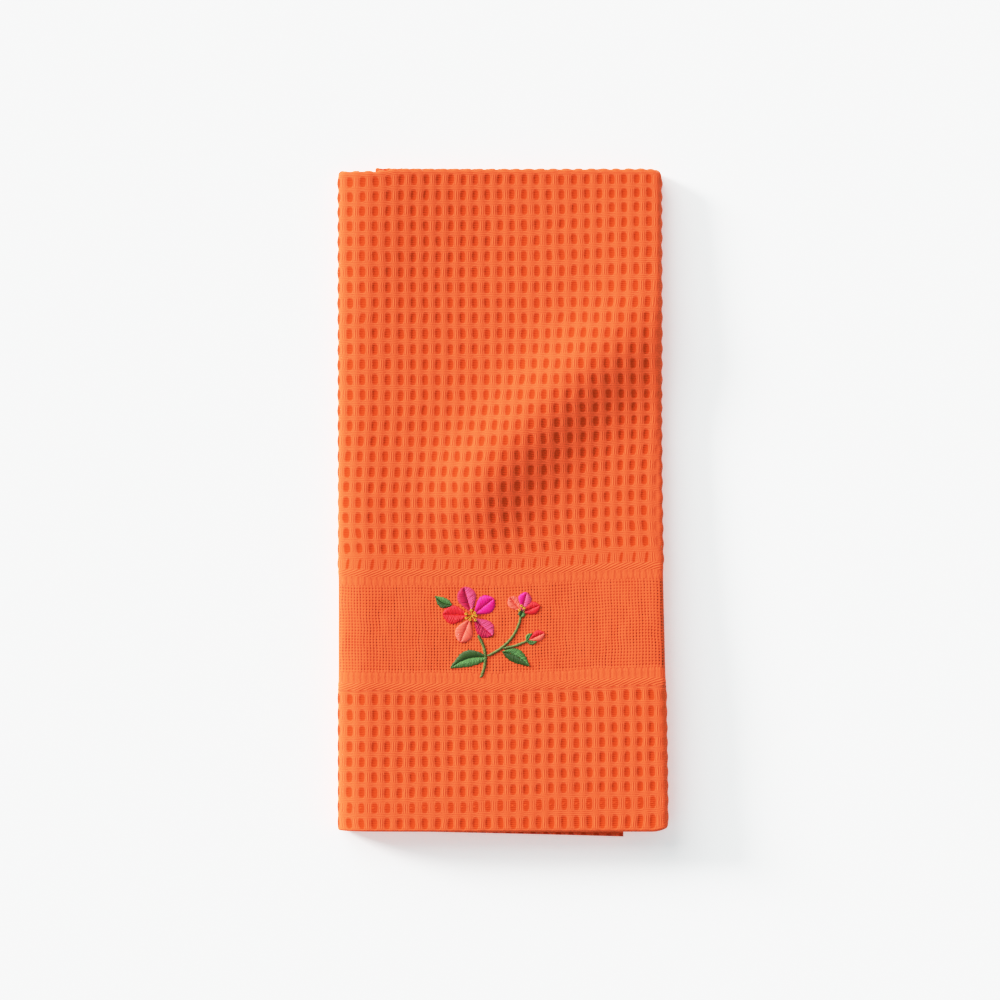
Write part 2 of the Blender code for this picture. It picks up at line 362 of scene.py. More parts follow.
# Satin shapes, from the sprig's middle: form, base, direction, size, bend and a thread for each half
Satin = namedtuple("Satin", "form x y degrees length half_width bend left right")
SATINS = (
    # A leaf behind the blossom and two beside the main stem
    Satin("leaf", -0.0205, 0.013, 152, 0.0105, 0.003, 0.0012, "dark_green", "leaf_green"),
    Satin("leaf", -0.001, -0.0158, 196, 0.0215, 0.0046, -0.0022, "leaf_green", "dark_green"),
    Satin("leaf", 0.0075, -0.0128, -28, 0.017, 0.004, 0.0016, "leaf_green", "dark_green"),
    # Blossom
    Satin("petal", -0.0078, 0.0082, 38, 0.0135, 0.0052, 0.0, "hot_pink", "hot_pink"),
    Satin("petal", -0.0098, 0.0094, 106, 0.014, 0.0054, 0.0, "magenta", "pink"),
    Satin("petal", -0.0114, 0.0074, 178, 0.014, 0.0053, 0.0, "red", "red"),
    Satin("petal", -0.0106, 0.005, 247, 0.0135, 0.0051, 0.0, "coral", "coral"),
    Satin("petal", -0.008, 0.0052, 318, 0.0135, 0.0051, 0.0, "pink", "magenta"),
    # Small blossom
    Satin("petal", 0.0178, 0.0098, 128, 0.0095, 0.0036, 0.0, "coral", "coral"),
    Satin("petal", 0.0192, 0.009, 22, 0.01, 0.0036, 0.0, "red", "red"),
    Satin("petal", 0.0186, 0.0098, 74, 0.0105, 0.0038, 0.0, "hot_pink", "pink"),
    # Bud with its cup, and the small blossom's cup
    Satin("petal", 0.0225, -0.0062, 24, 0.0092, 0.003, 0.0, "red", "coral"),
    Satin("leaf", 0.021, -0.0066, 52, 0.005, 0.0013, 0.0006, "leaf_green", "leaf_green"),
    Satin("leaf", 0.0212, -0.007, -2, 0.0055, 0.0013, -0.0006, "leaf_green", "leaf_green"),
    Satin("leaf", 0.0176, 0.0062, 62, 0.0048, 0.0022, 0.0, "dark_green", "leaf_green"),
)

# Fullness and bluntness of each form
FORMS = {"petal": (1.45, 0.62), "leaf": (0.86, 0.95)}

# Main stem, the small blossom's and the bud's: start, middle and end of a curve, and its width
Stem = namedtuple("Stem", "start middle end width")
STEMS = (
    Stem((-0.006, -0.004), (0.001, -0.014), (-0.0045, -0.0268), 0.0016),
    Stem((0.018, 0.0066), (0.015, -0.008), (-0.0006, -0.015), 0.0013),
    Stem((0.0212, -0.0068), (0.015, -0.01), (0.008, -0.0108), 0.0012),
)
STEM_PITCH = 0.0005
STEM_LEAN = 0.0014
STEM_CURVE = 1.08

# Gold knots round the blossoms' middles, each with a short stitch that leads to it
Cluster = namedtuple("Cluster", "x y knots reach")
CLUSTERS = (Cluster(-0.0095, 0.007, 7, 0.003), Cluster(0.0186, 0.0112, 3, 0.0016))
KNOT_RADIUS = 0.00055
KNOT_THREAD = 0.0005
KNOT_LIFT = 0.00075
KNOT_TURNS = 2
KNOT_STEPS = 10
KNOT_CLIMB = 0.7
KNOT_TURN_VARIES = 0.2
KNOT_REACH_VARIES = 0.25
LEAD_SHARES = (0.0, 0.5, 1.0)
LEAD_LIFTS = (0.3, 0.9, 1.2)
LEAD_WIDTH = 0.8

# Hem's stitches
HEM_STITCH = 0.003
HEM_STITCH_GAP = 0.0005
HEM_THREAD = 0.00046
HEM_THREAD_COLOUR = (0.9, 0.08, 0.018, 1.0)
HEM_STEPS = (0.0, 0.12, 0.5, 0.88, 1.0)
HEM_LIFTS = (-1.3, -0.3, 0.1, -0.3, -1.3)
HEM_FLATNESS = 0.8

# Floor, lights (name, strength, spread, azimuth, elevation) and camera
FLOOR_HALF = 4.0
FLOOR_GAP = 0.0001
FLOOR_COLOUR = (0.92, 0.92, 0.925, 1.0)
FLOOR_GLOW = 0.34
GLOW_COLOUR = (0.93, 1.0, 1.0, 1.0)
ROOM_COLOUR = (0.92, 1.0, 1.02, 1.0)
ROOM_STRENGTH = 0.42
LIGHT_COLOUR = (1.0, 0.985, 0.96)
LIGHTS = (("low window", 6.4, 15, 155, 17), ("high window", 2.98, 50, 128, 33))
SENSOR = 36.0
CAMERA_DISTANCE = 2.0
FRAME_WIDTH = 0.555
FRAME_LEVEL = 0.006
FRAME_CENTRE = (-0.0014, 0.0011)

# Tone curve, as film rolls highlights off: light in, light out
TONE_POINTS = (
    (0.0, 0.0), (0.45, 0.45), (0.68, 0.68), (0.84, 0.762), (0.98, 0.808), (1.17, 0.858),
    (1.4, 0.9), (1.78, 0.938), (2.6, 1.0),
)


def smooth(value, start, end):
    """Rise softly from 0 at start to 1 at end."""
    share = np.clip((value - start) / (end - start), 0.0, 1.0)
    return share * share * (3.0 - 2.0 * share)


def between(value, low, high, edge):
    """1 between low and high, with soft edges."""
    return smooth(value, low - edge, low + edge) * (1.0 - smooth(value, high - edge, high + edge))


def scatter(i, j, seed):
    """A fixed number from -1 to 1 for each whole pair i, j."""
    value = np.sin(i * 127.1 + j * 311.7 + seed * 74.7) * 43758.5453
    return 2.0 * (value - np.floor(value)) - 1.0


def soft_noise(x, y, seed):
    """Smooth noise from -1 to 1, one lump to a unit."""
    i, j = np.floor(x), np.floor(y)
    fx, fy = x - i, y - j
    fx, fy = fx * fx * (3 - 2 * fx), fy * fy * (3 - 2 * fy)
    low = scatter(i, j, seed) * (1 - fx) + scatter(i + 1, j, seed) * fx
    high = scatter(i, j + 1, seed) * (1 - fx) + scatter(i + 1, j + 1, seed) * fx
    return low * (1 - fy) + high * fy


# Folding

def round_fold(profile, way):
    return np.interp(way, profile.way, profile.sideways), np.interp(way, profile.way, profile.upward)


def section(u):
    """Place, outward direction and panel, -1, 0 or 1, of the slab's middle across the stack."""
    left_side, left_up = round_fold(LEFT_PROFILE, (U_FRONT - u) / LEFT_ARC)
    right_side, right_up = round_fold(RIGHT_PROFILE, (u - U_RIGHT) / RIGHT_ARC)
    left_side = -left_side
    zones = [u < U_LEFT, u < U_FRONT, u <= U_RIGHT, u < U_FLAP]
    x = np.select(zones, [
        LEFT_FLAP_X - u,
        LEFT_AXIS_X + LEFT_RADIUS * left_side,
        LEFT_AXIS_X + u - U_FRONT,
        RIGHT_AXIS_X + RIGHT_RADIUS * right_side,
    ], RIGHT_AXIS_X - (u - U_FLAP))
    left_climb = front_climb(x + SLAB_HALF * left_side) * (1 + left_up) / 2
    z = np.select(zones, [
        SLAB_HALF + SLAB_PITCH * smooth(x, LEFT_AXIS_X, RISE_END_X),
        SLAB_HALF + LEFT_RADIUS * (1 + left_up) + left_climb,
        SLAB_HALF + SLAB_PITCH + front_climb(x),
        SLAB_HALF + RIGHT_RADIUS * (1 + right_up),
    ], SLAB_HALF)
    side = np.select(zones, [0.0, left_side, 0.0, right_side], 0.0)
    up = np.select(zones, [-1.0, left_up, 1.0, right_up], -1.0)
    panel = np.select(zones, [-1.0, -1.0, 0.0, 1.0], 1.0)
    return x, z, side, up, panel


def front_climb(x):
    """How far the middle third has climbed since its left edge."""
    share = np.clip((x - LEFT_X) / (RISE_END_X - LEFT_X), 0.0, 1.0)
    return SLAB_PITCH * (1.0 - (1.0 - share) ** CLIMB_POWER)


def loft(y):
    """How many times thicker the stack is than its layers pressed even."""
    share = np.clip((FOLD_Y - y) / (FOLD_Y - HEM_Y), 0.0, 1.0)
    return FOLD_LOFT + (HEM_LOFT - FOLD_LOFT) * share ** LOFT_POWER


def swell_height(x, y):
    along_x, along_y = SWELL_END[0] - SWELL_START[0], SWELL_END[1] - SWELL_START[1]
    length = math.hypot(along_x, along_y)
    x, y = x - SWELL_START[0], y - SWELL_START[1]
    share = (x * along_x + y * along_y) / length ** 2
    off = (y * along_x - x * along_y) / length - SWELL_BOW * 4.0 * share * (1.0 - share)
    spread = np.where(off > 0, SWELL_UPPER_SPREAD, SWELL_LOWER_SPREAD)
    grown, faded = smooth(share, *SWELL_GROWS), smooth(share, *SWELL_FADES)
    return SWELL_HEIGHT * grown * (1.0 - faded) * np.exp(-((off / spread) ** 2))


def relief(x, y):
    """Height that the top layer stands above or below an even stack."""
    height = swell_height(x, y)
    for at_x, at_y, top, spread_x, spread_y in RISES:
        away = ((x - at_x) / spread_x) ** 2 + ((y - at_y) / spread_y) ** 2
        height = height + top * np.exp(-away)
    return height


def lengthwise_slide(x, y, panel):
    """How far a point slides along Y: the flaps' skew and the drawn-in ends."""
    left_share = np.clip((x - LEFT_AXIS_X) / (LEFT_FLAP_X - LEFT_AXIS_X), 0, 1) ** SLIDE_POWER
    right_share = np.clip((RIGHT_AXIS_X - x) / (RIGHT_AXIS_X - RIGHT_FLAP_X), 0, 1) ** SLIDE_POWER
    slide = np.where(panel < 0, LEFT_FLAP_SLIDE * left_share, 0.0)
    slide = slide + np.where(panel > 0, RIGHT_FLAP_SLIDE * right_share, 0.0)
    corner = CORNER_DROP * np.clip((x - RIGHT_X + CORNER_WIDTH) / CORNER_WIDTH, 0, None) ** 2
    left_end = LEFT_END_DROP * (1.0 - smooth(x, RIGHT_FLAP_X, RIGHT_FLAP_X + SIDE_HEM))
    left_end = np.where(panel > 0, 0.0, left_end)
    slide = slide - (corner + left_end) * smooth(y, FOLD_Y - CORNER_REACH, FOLD_Y)
    return slide + corner * (1.0 - smooth(y, HEM_Y, HEM_Y + CORNER_REACH))


def place(u, v, offset):
    """Place in the stack of points of the sheet, offset outward from the middle of its layer."""
    x, z, side, up, panel = section(u)
    turn = np.clip((v - V_FOLD) / CROSS_ARC, 0.0, math.pi)
    y = np.where(v < V_FOLD, HEM_Y + v, np.where(v > V_REAR, FOLD_AXIS_Y - (v - V_REAR), FOLD_AXIS_Y))
    reach = LAYER_PITCH / 2 + offset
    x = x + reach * np.cos(turn) * side
    middle = z + LAYER_PITCH / 2 * np.cos(turn) * up
    z = (z + reach * np.cos(turn) * up) * loft(y)
    y = y + reach * np.sin(turn)
    z = z + relief(x, y) * np.clip((middle - LOWEST_MIDDLE) / (HIGHEST_MIDDLE - LOWEST_MIDDLE), 0, 1)
    y = y + lengthwise_slide(x, y, panel)
    x = LEFT_X + (x - LEFT_X) * (1.0 - NARROWING * smooth(y, HEM_Y, NARROWEST_FROM_Y))
    return np.stack([x, y, z], axis=-1)


# Weave relief

def cells(u, v):
    """Waffle coordinates: ridges at whole numbers across, ribs at whole numbers along."""
    across = (LEFT_AXIS_X + u - U_FRONT - RIDGE_X) / CELL_U
    return across, row_at(HEM_Y + v)


def row_at(y):
    """Rows of waffle cells from the crosswise fold to y."""
    return (np.where(y < BAND_END_Y, LOWER_RIB_Y, RIB_Y) - y) / CELL_V


def drift(u, v):
    """How far the weave strays from a true grid: a small wander, rising rows and bowed columns."""
    inward_u, inward_v = np.minimum(u, U_END - u), np.minimum(v, V_END - v)
    edge = smooth(inward_v, 0.0, STRAIGHT_EDGE) * smooth(inward_u, 0.0, STRAIGHT_EDGE)
    x, y = LEFT_AXIS_X + u - U_FRONT, HEM_Y + v
    front = smooth(u, U_LEFT, U_FRONT) * (1.0 - smooth(u, U_RIGHT, U_FLAP)) * (v < V_FOLD)
    pull = SWELL_PULL * swell_height(x, y) / SWELL_HEIGHT + BOW * np.exp(-(((y - BOW_Y) / BOW_SPREAD) ** 2))
    pull = pull + LEAN * smooth(y, *LEAN_Y) * smooth(x, LEFT_X, LEAN_BY_X)
    du, dv = wander(u, v, WANDER_ACROSS) * edge, wander(u, v, WANDER_ALONG) * edge
    return du + pull * front, dv + row_climb(x, y) * front


def wander(u, v, lumps):
    return WANDER * sum(soft_noise(u / wide, v / tall, seed) for wide, tall, seed in lumps)


def row_climb(x, y):
    """How far the rows have risen at x, to the right of where they run level."""
    heights, rises, starts = np.array(ROW_CLIMB).T
    return np.interp(y, heights, rises) * smooth(x, np.interp(y, heights, starts), RIGHT_X)


def pocket_share(y):
    """Share of the pockets' depth: less above the band, at the hem's seam and at its edge."""
    share = 1.0 - HALF_ROW_FLATNESS * between(y, UPPER_TWILL_Y, HALF_ROW_TOP_Y, ZONE_EDGE)
    share = share * (1.0 - SEAM_FLATTENING * np.exp(-((y - HEM_SEAM_Y) / SEAM_SPREAD) ** 2))
    return share * smooth(y, HEM_Y, HEM_Y + EDGE_TAPER)


def pocket_drop(u, v):
    """Depth of the waffle below its ridges: an uneven, rounded pocket in each cell."""
    across, along = cells(u, v)
    column, row = np.floor(across), np.floor(along)
    aside = across - column - 0.5 + POCKET_STRAY[0] * scatter(column, row, 7)
    down = along - row - 0.5 + POCKET_STRAY[1] * scatter(column, row, 8)
    half_row = between(HEM_Y + v, UPPER_TWILL_Y, HALF_ROW_TOP_Y, ZONE_EDGE)
    aside = aside + HALF_ROW_LEAN * half_row * down
    half_width = POCKET_HALF_U * (1.0 + WIDTH_VARIES * scatter(column, row, 9))
    half_width = half_width * (1.0 - HALF_ROW_NARROWING * half_row)
    wide, tall = np.abs(aside / half_width), np.abs(down / POCKET_HALF_V)
    away = (wide ** SQUARENESS + tall ** SQUARENESS) ** (1.0 / SQUARENESS)
    pocket = 1.0 - smooth(away, *POCKET_WALL)
    rib = RIB_DEPTH * smooth(np.abs(across - np.round(across)), *RIB_SLOPE)
    uneven = 1.0 + DEPTH_VARIES * scatter(column, row, 5)
    return rib + (POCKET_DEPTH * uneven - rib) * pocket


def band_drop(u, v):
    """Depth of the plain-weave band below the ridges, with a hole between four yarns."""
    y = HEM_Y + v
    across, along = u / YARN_U, (PLAIN_TOP_Y - y) / YARN_V
    beside, above = np.cos(math.pi * across) ** 2, np.cos(math.pi * along) ** 2
    uneven = 1.0 + YARN_VARIES * soft_noise(across / YARN_LUMP[0], along / YARN_LUMP[1], 6)
    plain = YARN_HOLE * (beside * above + BESIDE_SHARE * beside + ABOVE_SHARE * above) * uneven
    return BAND_DROP + plain * between(y, LOWER_FLOATS_Y, PLAIN_TOP_Y, ZONE_EDGE) - twill_rise(y)


def twill_rise(y):
    """Height of the two twill ribs that edge the band."""
    upper = np.exp(-(((y - (UPPER_TWILL_Y + UPPER_FLOATS_Y) / 2) / TWILL_SPREAD) ** 2))
    lower = np.exp(-(((y - (LOWER_TWILL_Y + BAND_END_Y) / 2) / TWILL_SPREAD) ** 2))
    return TWILL_RISE * (upper + lower)


def outer_offset(u, v):
    """How far the cloth's outer face lies from the middle of its layer."""
    y = HEM_Y + v
    in_band = between(y, BAND_END_Y, UPPER_TWILL_Y, ZONE_EDGE)
    at_edge = section(u)[2] ** EDGE_POWER
    puff = EDGE_PUFF * at_edge * np.sin(math.pi * row_at(y)) ** 2 * smooth(y, HEM_Y, HEM_Y + EDGE_TAPER)
    waffle = (pocket_drop(u, v) * pocket_share(y) * (1.0 - FOLD_FLATTENING * at_edge) - puff) / loft(y)
    drop = waffle * (1 - in_band) + band_drop(u, v) * in_band
    return FACE - np.where(v > V_REAR, REAR_DEPTH, drop)


def inner_offset(u, v):
    """The same for its inner face, which is thicker under the hems."""
    y = HEM_Y + v
    hem = (np.abs(v - V_END / 2) > V_END / 2 - END_HEM) | (np.abs(u - U_END / 2) > U_END / 2 - SIDE_HEM)
    in_band = (y < UPPER_TWILL_Y) & (y > BAND_END_Y)
    return np.where(hem, HEM_INNER, np.where(in_band, BAND_INNER, FACE))


# The sheet's lattice

def grid_lines(start, end, pitch, origin, shares=(0.0,)):
    """Lines at the given shares of each pitch, counted from origin, with both ends added."""
    first = math.floor((start - origin) / pitch)
    last = math.ceil((end - origin) / pitch)
    lines = [origin + (cell + share) * pitch for cell in range(first, last) for share in shares]
    gap = pitch * LEAST_STEP
    return [start] + [line for line in lines if start + gap < line < end - gap] + [end]


def even_lines(start, end, steps):
    return [start + (end - start) * step / steps for step in range(steps + 1)]


def joined(*runs):
    """Runs of lines put end to end, each shared end once."""
    lines = list(runs[0])
    for run in runs[1:]:
        lines += run[1:]
    return lines


def left_flap_columns(shares):
    flat = grid_lines(RIM, U_LEFT_SLOPE, CELL_U, U_ORIGIN, shares)
    return joined(flat, even_lines(U_LEFT_SLOPE, U_LEFT, LEFT_SLOPE_STEPS))


def right_flap_columns(shares):
    return grid_lines(U_FLAP, U_END - RIM, CELL_U, U_ORIGIN, shares)


def plain_columns():
    """Lines across the whole sheet where it is hidden, close only at its folds and slopes."""
    return joined(
        left_flap_columns((0.0,)),
        even_lines(U_LEFT, U_FRONT, ARC_STEPS),
        even_lines(U_FRONT, U_FRONT_SLOPE, LEFT_SLOPE_STEPS),
        grid_lines(U_FRONT_SLOPE, U_RIGHT_SLOPE, CELL_U, U_ORIGIN),
        even_lines(U_RIGHT_SLOPE, U_RIGHT, RIGHT_SLOPE_STEPS),
        even_lines(U_RIGHT, U_FLAP, ARC_STEPS),
        right_flap_columns((0.0,)),
    )


def outer_rows():
    """Rows up the outer layer and round the crosswise fold: (v, in the band, kept by the flaps)."""
    edges = [RIM] + [y - HEM_Y for y in (BAND_END_Y, LOWER_FLOATS_Y, PLAIN_TOP_Y, UPPER_TWILL_Y)] + [V_FOLD]
    runs = (
        (CELL_V, V_LOWER_ORIGIN, POCKET_LINES_V, False),
        (TWILL_STEP, edges[1], (0.0,), True),
        (YARN_V, edges[3], (0.0, 0.5), True),
        (TWILL_STEP, edges[3], (0.0,), True),
        (CELL_V, V_ORIGIN, POCKET_LINES_V, False),
    )
    rows = []
    for start, end, (pitch, origin, shares, banded) in zip(edges, edges[1:], runs):
        lines = grid_lines(start, end, pitch, origin, shares)
        last = len(lines) - 1
        for index, v in enumerate(lines):
            if rows and index == 0:
                continue
            halves = (v - origin) / pitch * 2.0
            kept = index % BAND_KEEP == 0 if banded else abs(halves - round(halves)) < SAME_LINE
            rows.append((v, banded, kept or index == last or not rows))
    rows += [(v, False, True) for v in even_lines(V_FOLD, V_REAR, ARC_STEPS)[1:]]
    return rows


class Lattice:
    """Collects the points of the sheet, as u, v and share of its thickness, and the faces."""

    def __init__(self):
        self.points = []
        self.faces = []

    def row(self, us, v, depth=0.0):
        first = len(self.points)
        self.points += [(u, v, depth) for u in us]
        return list(range(first, first + len(us)))

    def join(self, low, high, axis=0):
        """Faces between two rows, as triangles where their points are spaced differently."""
        low_at, high_at = ([self.points[index][axis] for index in row] for row in (low, high))
        if len(low) == len(high) and np.allclose(low_at, high_at, atol=1e-7):
            self.faces += [(low[i], low[i + 1], high[i + 1], high[i]) for i in range(len(low) - 1)]
            return
        i = j = 0
        while i < len(low) - 1 or j < len(high) - 1:
            if j == len(high) - 1 or (i < len(low) - 1 and low_at[i + 1] <= high_at[j + 1]):
                self.faces.append((low[i], low[i + 1], high[j]))
                i += 1
            else:
                self.faces.append((low[i], high[j + 1], high[j]))
                j += 1


def lay_outer_layer(lattice):
    """Lay the outer layer, finest in its middle, and return its rows from edge to edge."""
    waffle = grid_lines(U_LEFT, U_FLAP, CELL_U, U_ORIGIN, POCKET_LINES_U)
    band = grid_lines(U_LEFT, U_FLAP, YARN_U, 0.0, (0.0, 0.5))
    left_us, right_us = left_flap_columns((0.0, 0.5))[:-1], right_flap_columns((0.0, 0.5))[1:]
    middle_before = None
    kept_before = None
    passed = []
    full_rows = []
    for v, banded, kept in outer_rows():
        middle = lattice.row(band if banded else waffle, v)
        if middle_before:
            lattice.join(middle_before, middle)
        passed.append(middle)
        middle_before = middle
        if not kept:
            continue
        left, right = lattice.row(left_us, v), lattice.row(right_us, v)
        if kept_before:
            old_left, old_right = kept_before
            lattice.join(old_left, left)
            lattice.join(old_right, right)
            lattice.faces.append((old_left[-1], *(row[0] for row in passed), left[-1]))
            lattice.faces.append((old_right[0], right[0], *(row[-1] for row in reversed(passed))))
        kept_before = (left, right)
        passed = [middle]
        full_rows.append(left + middle + right)
    return full_rows


def lay_plain_rows(lattice, vs, depth, before=None):
    """Coarse rows across the whole sheet, joined to the row before them if there is one."""
    columns = plain_columns()
    rows = []
    for v in vs:
        row = lattice.row(columns, v, depth)
        if before:
            lattice.join(before, row)
        rows.append(row)
        before = row
    return rows


def lay_rim(lattice, outer_layer, inner_layer):
    """Round the free edge off, from the outer face's border to the inner face's."""
    sides = (
        (outer_layer[0], inner_layer[0], 0, (0, -1)),
        ([row[-1] for row in outer_layer], [row[-1] for row in inner_layer], 1, (1, 0)),
        (outer_layer[-1], inner_layer[-1], 0, (0, 1)),
        ([row[0] for row in outer_layer], [row[0] for row in inner_layer], 1, (-1, 0)),
    )
    corners = {}
    for outer, inner, axis, away in sides:
        before = outer
        for step in range(1, RIM_STEPS):
            turn = math.pi * step / RIM_STEPS
            out = RIM * math.sin(turn)
            depth = (1.0 - math.cos(turn)) / 2.0
            row = []
            for order, index in enumerate(outer):
                u, v, _ = lattice.points[index]
                if order in (0, len(outer) - 1):
                    key = (index, step)
                    if key not in corners:
                        corner_u = out if u > U_END / 2 else -out
                        corner_v = out if v > V_END / 2 else -out
                        corners[key] = lattice.row([u + corner_u], v + corner_v, depth)[0]
                    row.append(corners[key])
                else:
                    row += lattice.row([u + out * away[0]], v + out * away[1], depth)
            lattice.join(before, row, axis)
            before = row
        lattice.join(before, inner, axis)


def cloth_lattice():
    lattice = Lattice()
    outer = lay_outer_layer(lattice)
    rear_vs = grid_lines(V_REAR, V_END - RIM, CELL_V, V_ORIGIN)
    outer += lay_plain_rows(lattice, rear_vs[1:], 0.0, outer[-1])
    front_vs = grid_lines(RIM, V_FOLD, CELL_V, V_ORIGIN)
    inner_vs = joined(front_vs, even_lines(V_FOLD, V_REAR, ARC_STEPS), rear_vs)
    inner = lay_plain_rows(lattice, inner_vs, 1.0)
    lay_rim(lattice, outer, inner)
    return lattice


def new_object(name, points, faces):
    mesh = bpy.data.meshes.new(name)
    mesh.from_pydata(points, [], faces)
    made = bpy.data.objects.new(name, mesh)
    bpy.context.scene.collection.objects.link(made)
    return made


def build_cloth():
    lattice = cloth_lattice()
    u, v, depth = np.array(lattice.points).T
    outer, inner = outer_offset(u, v), -inner_offset(u, v)
    du, dv = drift(u, v)
    points = place(u + du, v + dv, outer + (inner - outer) * depth)
    cloth = new_object("tea_towel_cloth", points.tolist(), lattice.faces)
    write_weave(cloth.data, u, v)
    face_outward(cloth.data)
    cloth.data.shade_smooth()
    return cloth


def write_weave(mesh, u, v):
    """Keep each point's waffle coordinates as a UV map."""
    corners = np.empty(len(mesh.loops), dtype=np.int32)
    mesh.loops.foreach_get("vertex_index", corners)
    layer = mesh.uv_layers.new(name="weave")
    pairs = np.stack(cells(u, v), axis=-1)[corners]
    layer.data.foreach_set("uv", pairs.astype(np.float32).ravel())


def face_outward(mesh):
    work = bmesh.new()
    work.from_mesh(mesh)
    bmesh.ops.recalc_face_normals(work, faces=work.faces)
    if work.calc_volume(signed=True) < 0:
        bmesh.ops.reverse_faces(work, faces=work.faces)
    work.to_mesh(mesh)
    work.free()


# Stitches

class Threads:
    """Collects threads of one colour, each a closed tube along its path."""

    def __init__(self):
        self.points = []
        self.faces = []

    def add(self, path, width, height):
        """One thread along points in space, flat on the cloth."""
        path = np.asarray(path)
        ahead = np.gradient(path, axis=0)
        ahead /= np.linalg.norm(ahead, axis=1)[:, None]
        side = np.cross(ahead, (0.0, 0.0, 1.0))
        side /= np.linalg.norm(side, axis=1)[:, None] + 1e-9
        up = np.cross(side, ahead)
        turns = 2 * math.pi * np.arange(SIDES) / SIDES
        rings = (path[:, None, :]
                 + side[:, None, :] * (width / 2 * np.cos(turns))[None, :, None]
                 + up[:, None, :] * (height / 2 * np.sin(turns))[None, :, None])
        first = len(self.points)
        self.points += rings.reshape(-1, 3).tolist()
        for ring in range(len(path) - 1):
            for turn in range(SIDES):
                after = (turn + 1) % SIDES
                low, high = first + ring * SIDES, first + (ring + 1) * SIDES
                self.faces.append((low + turn, low + after, high + after, high + turn))
        last = first + (len(path) - 1) * SIDES
        self.faces.append(tuple(reversed(range(first, first + SIDES))))
        self.faces.append(tuple(range(last, last + SIDES)))

    def build(self, name, material):
        made = new_object(name, self.points, self.faces)
        face_outward(made.data)
        made.data.shade_smooth()
        made.data.materials.append(material)
        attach(made, BODY)
        return made


def on_front(x, y, lift, drop=BAND_DROP):
    """Points of the front layer, lifted off the cloth's face there."""
    x, y, lift = np.broadcast_arrays(x, y, lift)
    return place(U_FRONT + x - LEFT_AXIS_X, y - HEM_Y, FACE - drop + lift)


def satin_stitch(threads, start, end, number):
    """One stitch over the band from start to end, arched, with its ends in the cloth."""
    steps = np.array(SATIN_STEPS)
    jitter = STITCH_JITTER * scatter(number, np.arange(4.0), 11)
    x = start[0] + jitter[0] + (end[0] + jitter[1] - start[0] - jitter[0]) * steps
    y = start[1] + jitter[2] + (end[1] + jitter[3] - start[1] - jitter[2]) * steps
    rise = np.sin(math.pi * steps) ** ARCH_POWER
    lift = -SATIN_SINK + (SATIN_LIFT + SATIN_SINK) * rise * (1.0 + ARCH_VARIES * scatter(number, 0.0, 12))
    threads.add(on_front(SPRIG_X + x, SPRIG_Y + y, lift), STITCH_WIDTH, STITCH_HEIGHT)


def satin_axis(shape, share):
    """Point of a satin shape's middle line, and the direction to its left."""
    turn = math.radians(shape.degrees)
    ahead, left = np.array((math.cos(turn), math.sin(turn))), np.array((-math.sin(turn), math.cos(turn)))
    point = np.array((shape.x, shape.y)) + ahead * shape.length * share
    return point + left * shape.bend * math.sin(math.pi * share), left


def satin_half(threads, shape, side, number):
    """Stitches from the middle line of a shape to its outline, side by side."""
    fullness, bluntness = FORMS[shape.form]
    count = max(FEWEST_STITCHES, round(shape.length / STITCH_PITCH))
    for index in range(count):
        share = (index + 0.5) / count
        reach = min(1.0, share + STITCH_LEAN * math.sin(math.pi * share))
        inner, left = satin_axis(shape, share)
        outer, left = satin_axis(shape, reach)
        half = shape.half_width * math.sin(math.pi * reach ** fullness) ** bluntness
        satin_stitch(threads, inner, outer + left * side * half, number + index)


def stem_stitches(threads, stem, number):
    """Short slanting stitches along a curved stem."""
    start, middle, end = np.array(stem[:3])
    count = round(math.dist(start, end) * STEM_CURVE / STEM_PITCH)
    for index in range(count):
        share = (index + 0.5) / count
        point = start * (1 - share) ** 2 + middle * 2 * share * (1 - share) + end * share ** 2
        ahead = (middle - start) * (1 - share) + (end - middle) * share
        ahead = ahead / np.linalg.norm(ahead)
        across = np.array((-ahead[1], ahead[0])) * stem.width / 2 - ahead * STEM_LEAN / 2
        satin_stitch(threads, point - across, point + across, number + index)


def knots(threads, cluster):
    """Knots round a blossom's middle, each on a short straight stitch."""
    for index in range(cluster.knots):
        angle = 2 * math.pi * (index + KNOT_TURN_VARIES * float(scatter(index, 1.0, 13))) / cluster.knots
        reach = cluster.reach * (1.0 + KNOT_REACH_VARIES * float(scatter(index, 2.0, 13)))
        middle = np.array((cluster.x, cluster.y))
        tip = middle + reach * np.array((math.cos(angle), math.sin(angle)))
        turns = np.linspace(0.0, 2 * math.pi * KNOT_TURNS, KNOT_TURNS * KNOT_STEPS)
        climb = np.linspace(0.0, KNOT_THREAD * KNOT_CLIMB, len(turns))
        x = SPRIG_X + tip[0] + KNOT_RADIUS * np.cos(turns)
        y = SPRIG_Y + tip[1] + KNOT_RADIUS * np.sin(turns)
        threads.add(on_front(x, y, KNOT_LIFT + climb), KNOT_THREAD, KNOT_THREAD)
        shares = np.array(LEAD_SHARES)
        x = SPRIG_X + middle[0] + (tip[0] - middle[0]) * shares
        y = SPRIG_Y + middle[1] + (tip[1] - middle[1]) * shares
        lead = on_front(x, y, np.array(LEAD_LIFTS) * KNOT_LIFT)
        threads.add(lead, KNOT_THREAD * LEAD_WIDTH, KNOT_THREAD * LEAD_WIDTH)


